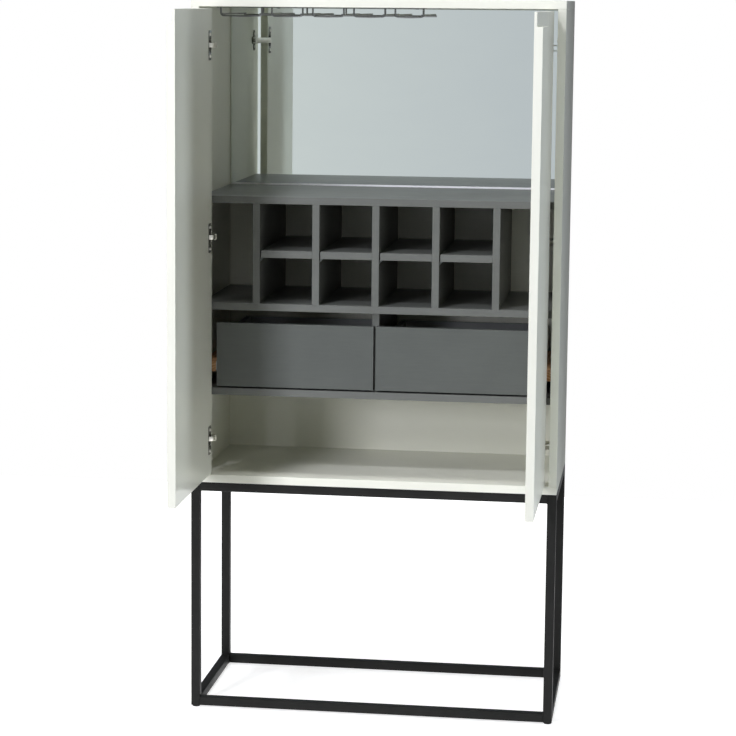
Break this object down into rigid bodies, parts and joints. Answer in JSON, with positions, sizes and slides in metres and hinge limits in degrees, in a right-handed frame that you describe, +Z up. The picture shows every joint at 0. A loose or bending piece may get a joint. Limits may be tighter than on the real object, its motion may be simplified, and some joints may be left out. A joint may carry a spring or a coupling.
{
  "type": "bar cabinet",
  "caption": "Tall bar cabinet on an open square-tube base, with inset doors on concealed hinges, drawers, bottle cubbies, a mirror and a hanging glass rack.",
  "frame": {"origin": "on the floor, under the middle of the bounding box with both doors open at 90 degrees", "axes": "+Z up, -Y towards the front where the doors open, +X to the right of someone facing the front"},
  "size_m": [0.82, 0.7566, 1.6],
  "materials": {
    "white_lacquer": "satin white lacquer on board",
    "dark_lacquer": "satin anthracite lacquer on board",
    "drawer_board": "matt anthracite foil on board",
    "raw_wood": "sawn, untreated",
    "mirror_glass": "polished",
    "chrome_wire": "polished chrome plate",
    "bright_nickel": "bright nickel plate",
    "zinc_plated": "bright zinc plate",
    "support_metal": "anthracite paint on die-cast zinc",
    "black_steel": "matt black powder coat",
    "black_plastic": "matt"
  },
  "bodies": {
    "cabinet": {"back_panel": "white_lacquer", "bottom_panel": "white_lacquer", "cabinet_runners": "zinc_plated", "divider_1": "dark_lacquer", "divider_2": "dark_lacquer", "divider_3": "dark_lacquer", "divider_4": "dark_lacquer", "divider_5": "dark_lacquer", "drawer_partition": "dark_lacquer", "front_left_leg": "black_steel", "front_rails": "black_steel", "front_right_leg": "black_steel", "glass_rack": "chrome_wire", "hinge_arms": "bright_nickel", "hinge_plates": "bright_nickel", "insert_lower_board": "dark_lacquer", "insert_middle_board": "dark_lacquer", "insert_top_board": "dark_lacquer", "left_rails": "black_steel", "left_side_panel": "white_lacquer", "leg_plugs": "black_plastic", "mirror_panel": "mirror_glass", "plate_screws": "bright_nickel", "rack_screws": "chrome_wire", "rear_left_leg": "black_steel", "rear_rails": "black_steel", "rear_right_leg": "black_steel", "right_rails": "black_steel", "right_side_panel": "white_lacquer", "runner_battens": "raw_wood", "shelf_1": "dark_lacquer", "shelf_2": "dark_lacquer", "shelf_3": "dark_lacquer", "shelf_4": "dark_lacquer", "shelf_supports": "support_metal", "top_panel": "white_lacquer"},
    "front_left_glide": {"front_left_glide": "black_plastic"},
    "front_right_glide": {"front_right_glide": "black_plastic"},
    "left_door": {"left_cup_screws": "bright_nickel", "left_door": "white_lacquer", "left_hinge_cups": "bright_nickel"},
    "left_drawer": {"left_drawer_back": "drawer_board", "left_drawer_bottom": "drawer_board", "left_drawer_front": "dark_lacquer", "left_drawer_runners": "zinc_plated", "left_drawer_sides": "drawer_board"},
    "left_hinge_links": {"left_hinge_links": "bright_nickel"},
    "rear_left_glide": {"rear_left_glide": "black_plastic"},
    "rear_right_glide": {"rear_right_glide": "black_plastic"},
    "right_door": {"right_cup_screws": "bright_nickel", "right_door": "white_lacquer", "right_hinge_cups": "bright_nickel"},
    "right_drawer": {"right_drawer_back": "drawer_board", "right_drawer_bottom": "drawer_board", "right_drawer_front": "dark_lacquer", "right_drawer_runners": "zinc_plated", "right_drawer_sides": "drawer_board"},
    "right_hinge_links": {"right_hinge_links": "bright_nickel"}
  },
  "joints": [
    {"name": "left_door_hinge", "type": "hinge", "parent": "cabinet", "child": "left_door", "pos_m": [-0.3805, 0.00075, 1.06], "axis": [0, 0, -1], "range_deg": [-90, 5]},
    {"name": "right_door_hinge", "type": "hinge", "parent": "cabinet", "child": "right_door", "pos_m": [0.3805, 0.00075, 1.06], "axis": [0, 0, 1], "range_deg": [-90, 5]},
    {"name": "left_links_pivot", "type": "hinge", "parent": "cabinet", "child": "left_hinge_links", "pos_m": [-0.35989, 0.0166, 1.06], "axis": [0, 0, 1], "range_deg": [-49.77, 3.05]},
    {"name": "right_links_pivot", "type": "hinge", "parent": "cabinet", "child": "right_hinge_links", "pos_m": [0.35989, 0.0166, 1.06], "axis": [0, 0, -1], "range_deg": [-49.77, 3.05]},
    {"name": "left_drawer_slide", "type": "slide", "parent": "cabinet", "child": "left_drawer", "axis": [0, -1, 0], "range_m": [0, 0.23]},
    {"name": "right_drawer_slide", "type": "slide", "parent": "cabinet", "child": "right_drawer", "axis": [0, -1, 0], "range_m": [0, 0.23]},
    {"name": "front_left_glide_screw", "type": "hinge", "parent": "cabinet", "child": "front_left_glide", "pos_m": [-0.4, 0.00825, 0], "axis": [0, 0, 1], "continuous": true},
    {"name": "front_right_glide_screw", "type": "hinge", "parent": "cabinet", "child": "front_right_glide", "pos_m": [0.4, 0.00825, 0], "axis": [0, 0, 1], "continuous": true},
    {"name": "rear_left_glide_screw", "type": "hinge", "parent": "cabinet", "child": "rear_left_glide", "pos_m": [-0.4, 0.36825, 0], "axis": [0, 0, 1], "continuous": true},
    {"name": "rear_right_glide_screw", "type": "hinge", "parent": "cabinet", "child": "rear_right_glide", "pos_m": [0.4, 0.36825, 0], "axis": [0, 0, 1], "continuous": true}
  ],
  "couplings": [
    {"joint": "left_links_pivot", "follows": "left_door_hinge", "ratio": 0.5497},
    {"joint": "right_links_pivot", "follows": "right_door_hinge", "ratio": 0.5497}
  ]
}
